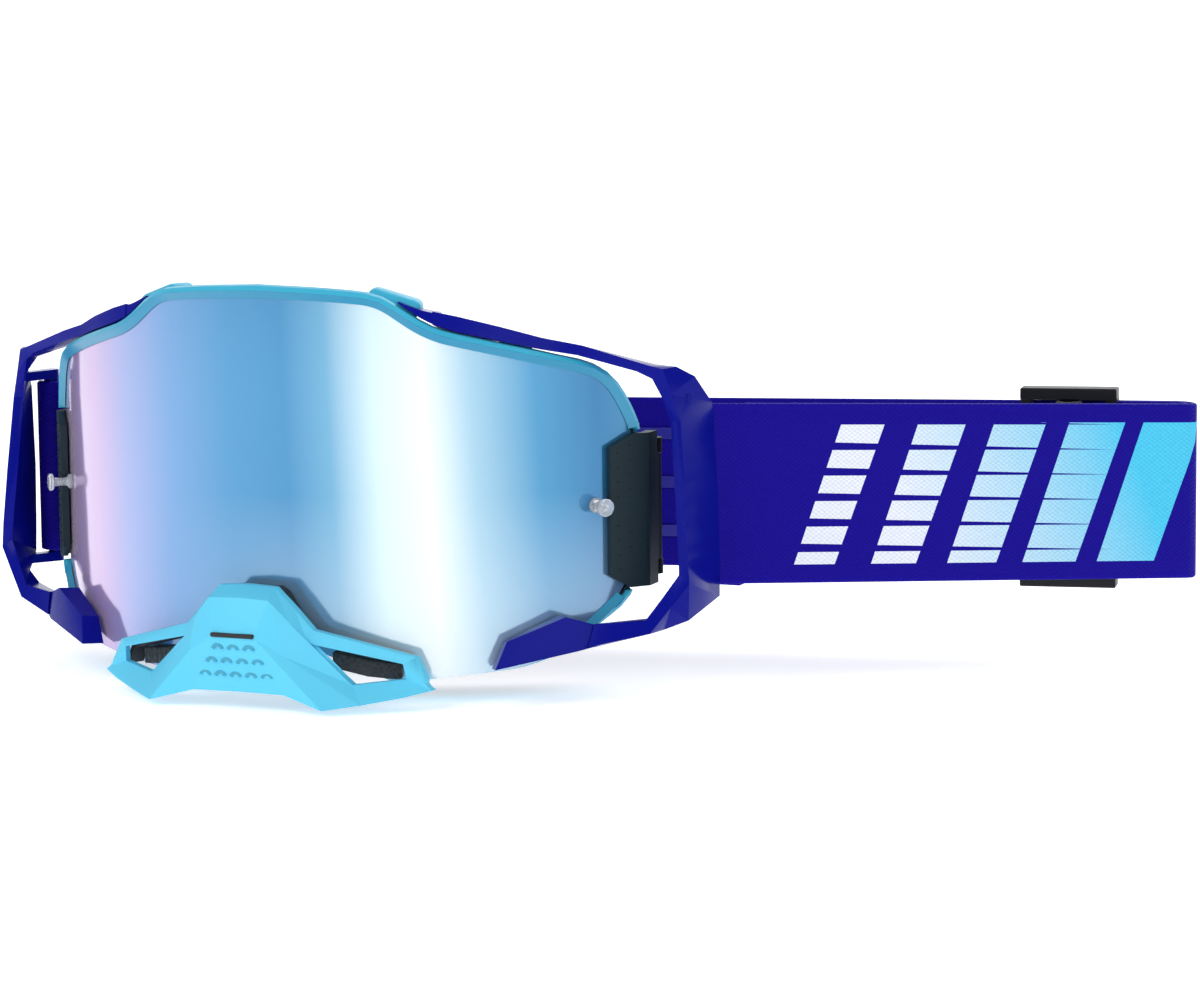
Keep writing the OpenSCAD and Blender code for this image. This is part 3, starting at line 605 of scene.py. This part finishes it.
class GOGGLES_OT_stage(bpy.types.Operator):
    """Set up the camera, the pale floor and the soft studio lights"""
    bl_idname = "goggles.stage"
    bl_label = "Stage"

    def execute(self, context):
        scene = context.scene
        camera = bpy.data.cameras.new("Camera")
        camera.lens = 121.64
        camera.sensor_width = 36.0
        camera.clip_start = 0.01
        eye = bpy.data.objects.new("Camera", camera)
        scene.collection.objects.link(eye)
        right = Vector((0.91404, 0.40548, -0.01064))
        back = Vector((0.40348, -0.90623, 0.12627))
        up = back.cross(right).normalized()
        eye.matrix_world = (Matrix.Translation((0.47644, -0.93523, 0.12698))
                            @ Matrix((right, up, back)).transposed().to_4x4())
        scene.camera = eye
        scene.view_settings.view_transform = "Standard"

        world = bpy.data.worlds.new("Soft studio")
        world.use_nodes = True
        sky = world.node_tree.nodes["Background"]
        sky.inputs["Color"].default_value = (0.93, 0.95, 1.0, 1.0)
        sky.inputs["Strength"].default_value = 0.42
        scene.world = world

        strength = sizes().light
        for name, place, size, power in (("Key", (-0.5, -1.0, 0.9), 0.9, 7.5), ("Fill", (1.1, -0.8, 0.5), 0.9, 3.6),
                                         ("Back", (0.2, 0.9, 1.0), 1.0, 6.0)):
            lamp = bpy.data.lights.new(name, "AREA")
            lamp.shape = "DISK"
            lamp.size = size
            lamp.energy = power * strength
            holder = bpy.data.objects.new(name, lamp)
            scene.collection.objects.link(holder)
            holder.location = place
            holder.rotation_euler = (Vector((0.03, 0, 0)) - Vector(place)).to_track_quat("-Z", "Y").to_euler()

        bm = bmesh.new()
        bmesh.ops.create_grid(bm, x_segments=1, y_segments=1, size=6.0)
        for v in bm.verts:
            v.co.z = CAD_BOX[0][2] - 0.0015
        f = Finish("Pale floor", Roughness=0.9, Specular_IOR_Level=0.1)
        f.feed("Base Color", f.mix(f.noise(3.0), (0.9, 0.91, 0.92), (0.93, 0.935, 0.94)))
        f.shader.inputs["Emission Color"].default_value = (1.0, 1.0, 1.0, 1.0)
        f.shader.inputs["Emission Strength"].default_value = 0.5
        mesh = bpy.data.meshes.new("Floor")
        bm.to_mesh(mesh)
        bm.free()
        mesh.materials.append(f.material)
        floor = bpy.data.objects.new("Floor", mesh)
        scene.collection.objects.link(floor)
        bm = bmesh.new()
        bmesh.ops.create_grid(bm, x_segments=1, y_segments=1, size=9.0)
        bmesh.ops.rotate(bm, cent=(0, 0, 0), matrix=Matrix.Rotation(math.pi / 2, 3, "X"), verts=bm.verts)
        bmesh.ops.translate(bm, vec=(0, 5.9, 0), verts=bm.verts)
        mesh = bpy.data.meshes.new("Backdrop")
        bm.to_mesh(mesh)
        bm.free()
        wall = Finish("White backdrop", Roughness=0.9, Specular_IOR_Level=0.0)
        wall.feed("Base Color", wall.mix(wall.noise(2.0), (0.92, 0.925, 0.93), (0.94, 0.945, 0.95)))
        wall.shader.inputs["Emission Color"].default_value = (1.0, 1.0, 1.0, 1.0)
        wall.shader.inputs["Emission Strength"].default_value = 0.9
        mesh.materials.append(wall.material)
        backdrop = bpy.data.objects.new("Backdrop", mesh)
        scene.collection.objects.link(backdrop)
        return {"FINISHED"}


class GOGGLES_OT_frame(bpy.types.Operator):
    """Build the outer frame with its brow ends and clip tabs, and the face frame behind it"""
    bl_idname = "goggles.frame"
    bl_label = "Frame"

    def execute(self, context):
        edge = sizes().edge
        rounded_copy("frame", "outer_frame", finish("Cyan frame"), "goggles", edge * 0.45, 24, 2)
        rounded_copy("face_frame", "face_frame_shell", finish("Black face frame"), "goggles",
                     edge * 0.4, 30, 1)
        rounded_copy("lens_gasket", "lens_seal_strip", finish("Black rubber"), "goggles", 0)
        for side, word in ((1, "left"), (-1, "right")):
            bm = bmesh.new()
            at = facing_lens(side * 0.0345, 0.0508, -0.0062) @ Matrix.Rotation(side * math.radians(-17), 4, "Z")
            rounded_block(bm, (0.0135, 0.0046, 0.0085), at, 0.002, 4)
            new_piece(f"{word}_brow_end", bm, finish("Cyan frame"), "goggles")
            bevel = [(-0.0006, 0.00022), (0.00125, 0.00165), (0.0015, 0.0014), (0.0011, 0.0001), (0.0, 0.00012)]
            upper = edge_stations(lambda p: p.y > 0.0186, lambda p: True)
            lower = edge_stations(lambda p: -0.0335 < p.y < -0.0215, lambda p: p.x > 0.07)
            # The brow and cheek bevel strips carry the darkened frame colour: painted shade
            swept(f"{word}_brow_bevel", upper, lambda t: bevel, finish("Teal bevel"), "goggles", side)
            swept(f"{word}_cheek_bevel", lower, lambda t: bevel, finish("Teal bevel"), "goggles", side)
            bm = bmesh.new()
            at = facing_lens(side * 0.0655, 0.0403, -0.0052) @ Matrix.Rotation(side * math.radians(-13), 4, "Z")
            rounded_block(bm, (0.0078, 0.0022, 0.005), at, 0.0007, 3)
            new_piece(f"{word}_clip_tab", bm, finish("Cyan frame"), "goggles")
        return {"FINISHED"}


class GOGGLES_OT_lens(bpy.types.Operator):
    """Build the mirrored lens and its clear tear-off posts"""
    bl_idname = "goggles.lens"
    bl_label = "Lens"

    def execute(self, context):
        bm = bmesh.new()
        bm.from_mesh(frame["nodes"]["lens"].data)
        bmesh.ops.remove_doubles(bm, verts=bm.verts, dist=2e-6)
        for face in bm.faces:
            face.material_index = 0
        lens = new_piece("mirrored_lens", bm, finish("Mirror lens"), "goggles", keep_normals=True)
        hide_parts("lens")
        mesh = lens.data
        normals = [None] * len(mesh.loops)
        for face in mesh.polygons:
            middle = face.center
            out = Vector((middle.x, middle.y - AXIS_Y, 0)).normalized()
            facing = face.normal.dot(out)
            for k in face.loop_indices:
                p = mesh.vertices[mesh.loops[k].vertex_index].co
                ray = Vector((p.x, p.y - AXIS_Y, 0)).normalized()
                normals[k] = ray * (1 if facing > 0 else -1) if abs(facing) > 0.9 else face.normal.copy()
        mesh.normals_split_custom_set(normals)

        spool = [(0, -0.0030), (0.0015, -0.0030), (0.0019, -0.0027), (0.0019, -0.0023), (0.0011, -0.0021),
                 (0.0011, 0.0001), (0.0019, 0.0002), (0.0019, 0.0008), (0.0015, 0.0011), (0.0011, 0.0014),
                 (0.0010, 0.0030), (0.0011, 0.0046), (0.0018, 0.0049), (0.0022, 0.0052), (0.0022, 0.0059),
                 (0.0019, 0.0062), (0.0008, 0.0063), (0, 0.0062)]
        for side, word in ((1, "left"), (-1, "right")):
            bm = bmesh.new()
            lathe(bm, spool, facing_lens(side * 0.0844, 0.0002), 28)
            post = new_piece(f"{word}_clear_post", bm, finish("Clear post"), "goggles")
            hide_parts(f"{word}_tear_off_post")
        return {"FINISHED"}


class GOGGLES_OT_latches(bpy.types.Operator):
    """Build the side latches with their studded grip faces and steel pins"""
    bl_idname = "goggles.latches"
    bl_label = "Latches"

    def execute(self, context):
        r = sizes().dimple
        for side, word in ((1, "left"), (-1, "right")):
            body = f"{word}_latch_body"
            rounded_copy(f"{word}_lens_latch", f"{word}_latch_plate", finish("Black latch"), body,
                         0.0004, 30, 2)
            bm = bmesh.new()
            for column in (0.0895, 0.0925, 0.0955):
                for row in range(9):
                    up = -0.0015 + (row - 4) * 0.0036 + (0.0018 if column == 0.0925 else 0.0)
                    made = bmesh.ops.create_icosphere(bm, subdivisions=1, radius=r)["verts"]
                    bmesh.ops.transform(bm, matrix=facing_lens(side * column, up, 0.0023), verts=made)
            new_piece(f"{word}_grip_studs", bm, finish("Black latch"), body)
            frame["nodes"][f"{word}_latch_pin"].data.materials.clear()
            frame["nodes"][f"{word}_latch_pin"].data.materials.append(finish("Steel pin"))
        return {"FINISHED"}


class GOGGLES_OT_outriggers(bpy.types.Operator):
    """Build the glossy outriggers with their arm roots"""
    bl_idname = "goggles.outriggers"
    bl_label = "Outriggers"

    def execute(self, context):
        for side, word in ((1, "left"), (-1, "right")):
            rounded_copy(f"{word}_outrigger", f"{word}_outrigger_shell", finish("Blue outrigger"), "goggles",
                         sizes().edge * 1.3, 17, 3)
            root = edge_stations(lambda p: 0.0335 < p.x < 0.0452, lambda p: p.y > 0)
            swept(f"{word}_arm_root", root, lambda t: [
                (0.0031, 0.0002), (0.0034 + 0.0029 * t, -0.0001), (0.0034 + 0.0029 * t, -0.0075), (0.0031, -0.0075)],
                finish("Blue outrigger"), "goggles", side, 0.0005)
        return {"FINISHED"}


class GOGGLES_OT_guard(bpy.types.Operator):
    """Build the nose guard with its scale marks, and the seal behind it"""
    bl_idname = "goggles.guard"
    bl_label = "Nose guard"

    def execute(self, context):
        rounded_copy("nose_guard", "nose_guard_shell", finish("Cyan guard"), "guard_body", 0.00075, 12, 3)
        rounded_copy("nose_seal", "nose_seal_lip", finish("Black rubber"), "goggles", 0.0003, 30, 2)
        rounded_copy("nose_vent_filters", "nose_filters", finish("Filter foam"), "goggles",
                     0.0003, 30, 2)
        radius = sizes().scale_arc
        bm = bmesh.new()
        for row, count in enumerate((3, 4, 5)):
            up = -0.0325 - row * 0.0034
            lean = math.radians(-9)
            for k in range(count):
                along = (k - (count - 1) / 2) * 0.0037
                out = 0.01605 - row * 0.00057
                ring = bmesh.ops.create_circle(bm, segments=8, radius=0.0005, cap_ends=True)["verts"]
                bmesh.ops.rotate(bm, cent=(0, 0, 0), matrix=Matrix.Rotation(math.pi / 2, 3, "X"), verts=ring)
                bmesh.ops.translate(bm, vec=(radius, 0, 0), verts=ring)
                face = [f for f in bm.faces if all(v in ring for v in f.verts)]
                geom = list(ring) + [e for e in bm.edges if e.verts[0] in ring and e.verts[1] in ring] + face
                bmesh.ops.spin(bm, geom=geom, cent=(0, 0, 0), axis=(0, 0, 1), dvec=(0, 0, 0),
                               angle=math.radians(150), steps=10, use_merge=False, use_duplicate=False)
                mine = [v for v in bm.verts if not v.tag]
                at = (facing_lens(along, up, out) @ Matrix.Rotation(lean, 4, "X")
                      @ Matrix.Rotation(math.radians(15), 4, "Z"))
                bmesh.ops.transform(bm, matrix=at, verts=mine)
                for v in mine:
                    v.tag = True
        slot = bmesh.new()
        rounded_block(slot, (0.0118, 0.0011, 0.0012), facing_lens(0, -0.0287, 0.0162), 0.00035, 2)
        new_piece("guard_slot", slot, finish("Black rubber"), "guard_body")
        # The scale marks' darker colour is painted shade
        new_piece("guard_scale_marks", bm, finish("Guard marks"), "guard_body")
        return {"FINISHED"}


class GOGGLES_OT_foam(bpy.types.Operator):
    """Build the layers of face foam and the vent filters"""
    bl_idname = "goggles.foam"
    bl_label = "Face foam"

    def execute(self, context):
        for node, name, finish_name, slot, width in (
                ("foam_dense", "dense_foam_layer", "Dense foam", "foam_grey", 0.0009),
                ("foam_soft", "soft_foam_layer", "Soft foam", "foam_light", 0.0012),
                ("foam_fleece", "fleece_layer", "Fleece", "fleece_black", 0.0008)):
            layer = rounded_copy(node, name, finish(finish_name), "goggles", width, 35, 3)
        rounded_copy("top_vent_filter", "brow_filter", finish("Filter foam"), "goggles", 0.0003, 30, 1)
        rounded_copy("bottom_vent_filters", "cheek_filters", finish("Filter foam"), "goggles",
                     0.0003, 30, 1)
        return {"FINISHED"}


class GOGGLES_OT_strap(bpy.types.Operator):
    """Build the woven strap, its return layers and its silicone lines"""
    bl_idname = "goggles.strap"
    bl_label = "Strap"

    def execute(self, context):
        printed, plain = finish("Printed webbing"), finish("Plain webbing")
        right_bar = Vector((-BAR.x, BAR.y))
        left_loop = arc(BAR, SEAT, NEAR_A - 270, NEAR_A - 90)
        right_loop = arc(right_bar, SEAT, 180, 360)
        band = web_band("strap_band", left_loop[:-1] + OUTER_RUN + right_loop[1:], [printed, plain],
                        "goggles", 0.0018)
        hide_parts("strap")

        inner = beside(OUTER_RUN, LAYER)
        near = heading(NEAR_A)
        # The layer is in two pieces: the front one rides on the goggles' body, the one past the fold on no body
        # Points of the inner run that the left layer follows
        reach = 22
        turned = min(range(reach), key=lambda i: (inner[i] - FAR_START).length)
        route = ([left_loop[0], left_loop[0] + 0.0054 * near,
                  NEAR_START + 0.0126 * near + (LAYER + 0.0005) * heading(NEAR_A + 90),
                  NEAR_START + 0.018 * near + LAYER * heading(NEAR_A + 90)] + inner[1:turned + 1])
        layer = web_band("left_front_layer", route, [plain], "goggles", 0.0018)
        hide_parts("left_strap_return")
        route = inner[turned:reach] + [LEFT_SLIDER - 0.006 * FAR + LAYER * heading(FAR_A + 90)]
        layer = web_band("left_return_layer", route, [plain], None, 0.0018)
        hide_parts("left_strap_return")
        start, end = FAR_START, LEFT_SLIDER - 0.0125 * FAR
        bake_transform(layer)

        last = len(OUTER_RUN) - 1
        route = ([right_loop[-1], right_loop[-1] + Vector((0, 0.0035))] + inner[last - 3:last - 18:-1]
                 + [RIGHT_SLIDER + 0.006 * FAR + LAYER * heading(FAR_A + 90)])
        layer = web_band("right_return_layer", route, [plain], None, 0.0018)
        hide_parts("right_strap_return")
        start, end = RIGHT_SLIDER + 0.045 * FAR, RIGHT_SLIDER + 0.0125 * FAR
        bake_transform(layer)

        rounded_copy("strap_grip_lines", "silicone_lines", finish("Silicone"), "goggles",
                     0.00018, 30, 2)
        return {"FINISHED"}


class GOGGLES_OT_sliders(bpy.types.Operator):
    """Build the strap sliders and the sewn loops round their middle bars"""
    bl_idname = "goggles.sliders"
    bl_label = "Sliders"

    def execute(self, context):
        for word in ("left", "right"):
            body = f"{word}_slider_body"
            rounded_copy(f"{word}_slider", f"{word}_slider_frame", finish("Black slider"), body,
                         0.0009, 30, 3)
            rounded_copy(f"{word}_slider_loop", f"{word}_sewn_loop", finish("Fleece"), body, 0.0002, 40, 1)
        return {"FINISHED"}


class GOGGLES_PT_panel(bpy.types.Panel):
    """Lists the goggles' parts and settings"""
    bl_idname = "GOGGLES_PT_panel"
    bl_label = "Goggles"
    bl_space_type = "VIEW_3D"
    bl_region_type = "UI"
    bl_category = "Goggles"

    def draw(self, context):
        column = self.layout.column()
        for name in STEPS:
            column.operator(f"goggles.{name}")
        for group in (context.scene.goggles_colours, context.scene.goggles_sizes):
            for key in group.bl_rna.properties.keys():
                if key not in {"rna_type", "name"}:
                    column.prop(group, key)


STEPS = ("stage", "frame", "lens", "latches", "outriggers", "guard", "foam", "strap", "sliders")
CLASSES = (GogglesColours, GogglesSizes, GOGGLES_OT_stage, GOGGLES_OT_frame, GOGGLES_OT_lens, GOGGLES_OT_latches,
           GOGGLES_OT_outriggers, GOGGLES_OT_guard, GOGGLES_OT_foam, GOGGLES_OT_strap, GOGGLES_OT_sliders,
           GOGGLES_PT_panel)


def register():
    for cls in CLASSES:
        bpy.utils.register_class(cls)
    bpy.types.Scene.goggles_colours = bpy.props.PointerProperty(type=GogglesColours)
    bpy.types.Scene.goggles_sizes = bpy.props.PointerProperty(type=GogglesSizes)


def unregister():
    del bpy.types.Scene.goggles_sizes
    del bpy.types.Scene.goggles_colours
    for cls in reversed(CLASSES):
        bpy.utils.unregister_class(cls)


def main():
    register()
    for name in STEPS:
        getattr(bpy.ops.goggles, name)()
    bpy.context.view_layer.update()


if __name__ == "__main__":
    main()
